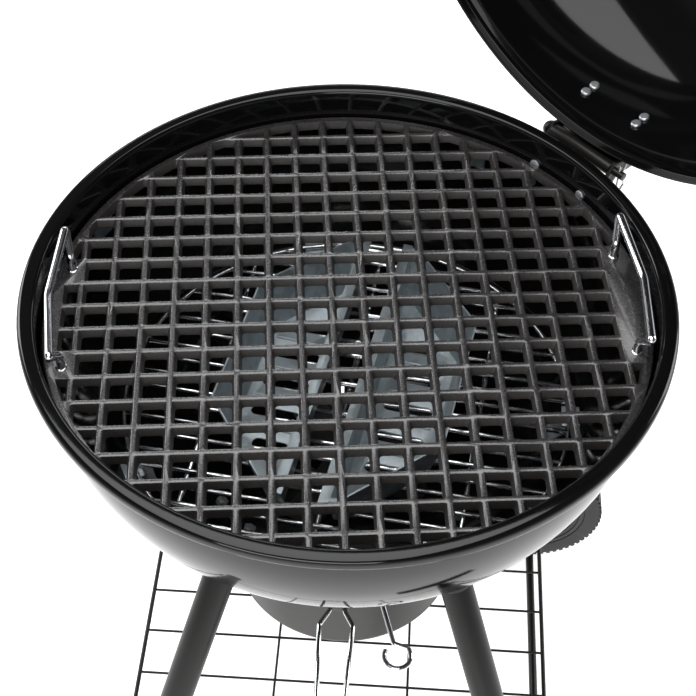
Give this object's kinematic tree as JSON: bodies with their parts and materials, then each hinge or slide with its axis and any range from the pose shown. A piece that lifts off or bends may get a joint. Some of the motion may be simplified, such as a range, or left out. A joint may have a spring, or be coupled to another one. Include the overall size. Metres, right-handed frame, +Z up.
{
  "type": "kettle charcoal grill",
  "caption": "Kettle charcoal grill with a hinged lid, cast iron cooking grate, charcoal baskets, ash bucket, splayed legs, wire shelf and wheels.",
  "frame": {"origin": "on the ground under the bowl's axis", "axes": "+Z up, +X towards the side with the wheels, -Y towards the cook; the lid hinge is behind on the right"},
  "size_m": [0.7423, 0.7642, 1.4009],
  "materials": {
    "enamel": "gloss black porcelain enamel",
    "lid_steel": "brushed",
    "black_steel": "semi-gloss black paint",
    "zinc": "galvanised",
    "chrome": "polished",
    "cast_iron": "matt enamelled casting",
    "ash_steel": "satin dark grey",
    "grip": "satin black",
    "black_plastic": "matt dark grey"
  },
  "bodies": {
    "stand": {"bowl": "enamel", "grate_tabs": "zinc", "coal_tabs": "zinc", "tab_screws": "chrome", "tab_nuts": "zinc", "hinge_bowl_bracket": "black_steel", "hinge_bolts": "chrome", "hinge_nuts": "zinc", "hinge_pin": "black_steel", "hinge_clip": "zinc", "ash_hanger": "zinc", "leg_socket_front_left": "black_steel", "leg_socket_front_right": "black_steel", "leg_socket_rear_left": "black_steel", "leg_socket_rear_right": "black_steel", "leg_front_left": "black_steel", "leg_front_right": "black_steel", "leg_rear_left": "black_steel", "leg_rear_right": "black_steel", "foot_front": "black_plastic", "foot_rear": "black_plastic", "axle_cap_front": "zinc", "axle_cap_rear": "zinc", "socket_bolts": "chrome", "socket_nuts": "zinc", "axle": "zinc", "shelf": "black_steel", "shelf_screws": "chrome"},
    "lid": {"lid": "enamel", "lid_rivet": "chrome", "lid_grip": "grip", "grip_bracket_left": "lid_steel", "grip_bracket_right": "lid_steel", "grip_screws": "chrome", "hinge_lid_bracket": "black_steel", "hinge_lid_screws": "chrome"},
    "damper": {"lid_damper": "lid_steel"},
    "cooking_grate": {"cooking_grate": "cast_iron", "grate_handle_left": "chrome", "grate_handle_right": "chrome"},
    "charcoal_grate": {"charcoal_grate": "chrome"},
    "basket_left": {"charcoal_basket_left": "zinc"},
    "basket_right": {"charcoal_basket_right": "zinc"},
    "sweeper": {"vent_sweeper": "ash_steel", "sweeper_lever": "chrome", "sweeper_nut": "zinc"},
    "ash_bucket": {"ash_bucket": "ash_steel", "ash_handle_plate": "black_steel", "ash_handle": "chrome"},
    "wheel_front": {"wheel_front": "black_plastic"},
    "wheel_rear": {"wheel_rear": "black_plastic"}
  },
  "joints": [
    {"name": "lid_hinge", "type": "hinge", "parent": "stand", "child": "lid", "pos_m": [0.21397, 0.21027, 0.775], "axis": [-0.7009, 0.7133, 0], "range_deg": [-88.3, 0]},
    {"name": "damper_turn", "type": "hinge", "parent": "lid", "child": "damper", "pos_m": [0.352, 0.34591, 1.08088], "axis": [0.7129, 0.7006, 0.0297], "range_deg": [0, 45]},
    {"name": "grate_lift", "type": "slide", "parent": "stand", "child": "cooking_grate", "axis": [0, 0, 1], "range_m": [0, 0.12]},
    {"name": "charcoal_grate_lift", "type": "slide", "parent": "stand", "child": "charcoal_grate", "axis": [0, 0, 1], "range_m": [0, 0.03]},
    {"name": "basket_left_slide", "type": "slide", "parent": "charcoal_grate", "child": "basket_left", "axis": [-0.9816, 0.1908, 0], "range_m": [0, 0.05]},
    {"name": "basket_right_slide", "type": "slide", "parent": "charcoal_grate", "child": "basket_right", "axis": [0.9816, -0.1908, 0], "range_m": [0, 0.05]},
    {"name": "sweeper_turn", "type": "hinge", "parent": "stand", "child": "sweeper", "pos_m": [0, 0, 0.507], "axis": [0, 0, 1], "range_deg": [-35, 15]},
    {"name": "bucket_drop", "type": "slide", "parent": "stand", "child": "ash_bucket", "axis": [0, 0, -1], "range_m": [0, 0.12]},
    {"name": "wheel_front_spin", "type": "hinge", "parent": "stand", "child": "wheel_front", "pos_m": [0.23392, -0.27913, 0.098], "axis": [0, 1, 0], "continuous": true},
    {"name": "wheel_rear_spin", "type": "hinge", "parent": "stand", "child": "wheel_rear", "pos_m": [0.23392, 0.27913, 0.098], "axis": [0, 1, 0], "continuous": true}
  ]
}
